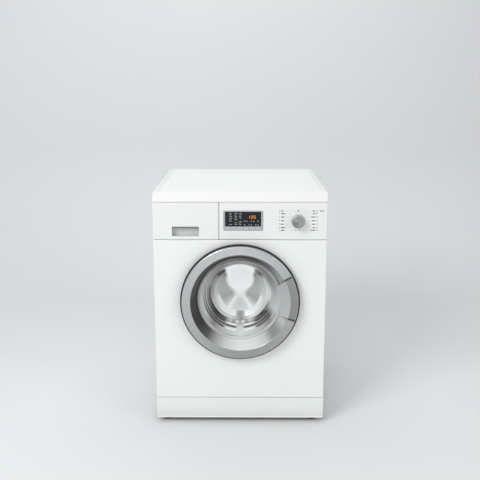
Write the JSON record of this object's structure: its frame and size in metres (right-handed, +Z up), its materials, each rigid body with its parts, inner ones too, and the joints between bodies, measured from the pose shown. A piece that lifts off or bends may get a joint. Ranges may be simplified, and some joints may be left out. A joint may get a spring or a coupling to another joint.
{
  "type": "washer dryer",
  "caption": "Free-standing front-loading washer dryer: white cabinet, round silver door with a glass bowl, detergent drawer, display, keys, programme dial and a sprung tub.",
  "frame": {"origin": "on the floor, below the middle of the machine", "axes": "+X to the right seen from the front, +Y from the door to the back, +Z up"},
  "size_m": [0.597, 0.61, 0.845],
  "materials": {
    "cabinet_white": "satin white stove enamel",
    "panel_white": "smooth white moulded plastic",
    "worktop_white": "white moulded frame",
    "board_white": "white melamine on chipboard",
    "zinc_sheet": "galvanised steel",
    "base_grey": "grey fibre-filled moulding",
    "ring_silver": "silver lacquer, satin",
    "rim_black": "black moulded plastic",
    "door_glass": "clear pressed glass",
    "bezel_grey": "grey, satin",
    "window_black": "smoked, glossy",
    "key_grey": "grey, satin",
    "knob_grey": "silver grey, satin",
    "circuit_board": "green solder mask",
    "tray_plastic": "pale grey moulding",
    "seal_rubber": "grey rubber",
    "hose_rubber": "black rubber",
    "hose_grey": "grey flexible plastic",
    "foot_black": "black rubber",
    "screw_zinc": "zinc plated",
    "tub_plastic": "pale grey filled plastic",
    "weight_concrete": "cast concrete",
    "drum_steel": "stainless steel",
    "spider_cast": "cast aluminium",
    "steel_part": "bright steel",
    "motor_case": "cast end shields on a laminated core",
    "duct_cast": "die-cast aluminium",
    "fitting_black": "black moulded plastic",
    "pump_grey": "grey moulded plastic",
    "lifter_plastic": "pale grey moulding"
  },
  "bodies": {
    "cabinet": {"side_panel_left": "cabinet_white", "side_panel_right": "cabinet_white", "rear_panel": "zinc_sheet", "rear_cover": "zinc_sheet", "base_tray": "base_grey", "inner_frame": "zinc_sheet", "front_panel": "cabinet_white", "worktop_frame": "worktop_white", "worktop_board": "board_white", "feet": "foot_black", "cabinet_screws": "screw_zinc", "fascia": "panel_white", "display_bezel": "bezel_grey", "display_window": "window_black", "control_board": "circuit_board", "dispenser_housing": "tray_plastic", "inlet_valve": "fitting_black", "hinge_bracket": "steel_part", "door_lock": "fitting_black", "bellows": "seal_rubber", "springs": "steel_part", "damper_cylinders": "fitting_black", "drain_pump": "pump_grey", "tub_hoses": "hose_rubber", "drain_hose": "hose_grey", "mains_gland": "fitting_black"},
    "tub": {"tub_front": "tub_plastic", "tub_rear": "tub_plastic", "heater": "steel_part", "front_weight": "weight_concrete", "top_weight": "weight_concrete", "bearings": "steel_part", "drive_belt": "hose_rubber", "motor": "motor_case", "damper_rods": "steel_part", "dryer_duct": "duct_cast", "condenser": "tub_plastic"},
    "drum": {"drum_shell": "drum_steel", "drum_lifters": "lifter_plastic", "drum_spider": "spider_cast", "drum_pulley": "spider_cast"},
    "motor_rotor": {"motor_pulley": "steel_part"},
    "dryer_fan": {"fan_impeller": "duct_cast"},
    "filter_cap": {"filter_cap": "pump_grey"},
    "plinth": {"plinth": "panel_white"},
    "drawer": {"drawer_front": "panel_white", "drawer_tray": "tray_plastic"},
    "knob": {"programme_knob": "knob_grey"},
    "door": {"door_ring": "ring_silver", "door_back_shell": "rim_black", "door_glass": "door_glass", "hinge_leaf": "spider_cast"},
    "handle": {"door_handle": "ring_silver"},
    "hook": {"door_hook": "steel_part"},
    "button_1": {"button_1": "key_grey"},
    "button_2": {"button_2": "key_grey"},
    "button_3": {"button_3": "key_grey"},
    "button_4": {"button_4": "key_grey"},
    "button_5": {"button_5": "key_grey"},
    "button_6": {"button_6": "key_grey"}
  },
  "joints": [
    {"name": "door_swing", "type": "hinge", "parent": "cabinet", "child": "door", "pos_m": [-0.189, -0.29, 0.464], "axis": [0, 0, 1], "range_deg": [-105, 0]},
    {"name": "handle_pull", "type": "hinge", "parent": "door", "child": "handle", "pos_m": [0.188, -0.29, 0.48], "axis": [0, 0, 1], "range_deg": [0, 18], "stiffness_Nm_per_rad": 1, "springref_deg": -8.59},
    {"name": "hook_turn", "type": "hinge", "parent": "door", "child": "hook", "pos_m": [0.184, -0.275, 0.464], "axis": [0, 0, 1], "range_deg": [0, 10.8]},
    {"name": "drawer_slide", "type": "slide", "parent": "cabinet", "child": "drawer", "axis": [0, -1, 0], "range_m": [0, 0.19]},
    {"name": "dial_turn", "type": "hinge", "parent": "cabinet", "child": "knob", "pos_m": [0.1977, -0.27, 0.7485], "axis": [0, 1, 0], "continuous": true},
    {"name": "button_1_press", "type": "slide", "parent": "cabinet", "child": "button_1", "axis": [0, 1, 0], "range_m": [0, 0.0012], "stiffness_N_per_m": 500, "springref_m": -0.001},
    {"name": "button_2_press", "type": "slide", "parent": "cabinet", "child": "button_2", "axis": [0, 1, 0], "range_m": [0, 0.0012], "stiffness_N_per_m": 500, "springref_m": -0.001},
    {"name": "button_3_press", "type": "slide", "parent": "cabinet", "child": "button_3", "axis": [0, 1, 0], "range_m": [0, 0.0012], "stiffness_N_per_m": 500, "springref_m": -0.001},
    {"name": "button_4_press", "type": "slide", "parent": "cabinet", "child": "button_4", "axis": [0, 1, 0], "range_m": [0, 0.0012], "stiffness_N_per_m": 500, "springref_m": -0.001},
    {"name": "button_5_press", "type": "slide", "parent": "cabinet", "child": "button_5", "axis": [0, 1, 0], "range_m": [0, 0.0012], "stiffness_N_per_m": 500, "springref_m": -0.001},
    {"name": "button_6_press", "type": "slide", "parent": "cabinet", "child": "button_6", "axis": [0, 1, 0], "range_m": [0, 0.0012], "stiffness_N_per_m": 500, "springref_m": -0.001},
    {"name": "tub_bounce", "type": "slide", "parent": "cabinet", "child": "tub", "axis": [0, 0, 1], "range_m": [-0.008, 0.008], "stiffness_N_per_m": 20000, "springref_m": 0.01562, "deforming": ["springs", "bellows", "tub_hoses"]},
    {"name": "drum_spin", "type": "hinge", "parent": "tub", "child": "drum", "pos_m": [0, 0, 0.464], "axis": [0, 1, 0], "continuous": true},
    {"name": "motor_spin", "type": "hinge", "parent": "tub", "child": "motor_rotor", "pos_m": [0.07, 0.2, 0.125], "axis": [0, 1, 0], "continuous": true},
    {"name": "fan_spin", "type": "hinge", "parent": "tub", "child": "dryer_fan", "pos_m": [0.14, 0.07, 0.75], "axis": [0, 0, 1], "continuous": true},
    {"name": "filter_cap_turn", "type": "hinge", "parent": "cabinet", "child": "filter_cap", "pos_m": [0.185, -0.25, 0.062], "axis": [0, 1, 0], "range_deg": [0, 90]},
    {"name": "plinth_pull", "type": "slide", "parent": "cabinet", "child": "plinth", "axis": [0, -1, 0], "range_m": [0, 0.06]}
  ],
  "couplings": [
    {"joint": "hook_turn", "follows": "handle_pull", "ratio": 0.6},
    {"joint": "motor_spin", "follows": "drum_spin", "ratio": 11.667}
  ]
}
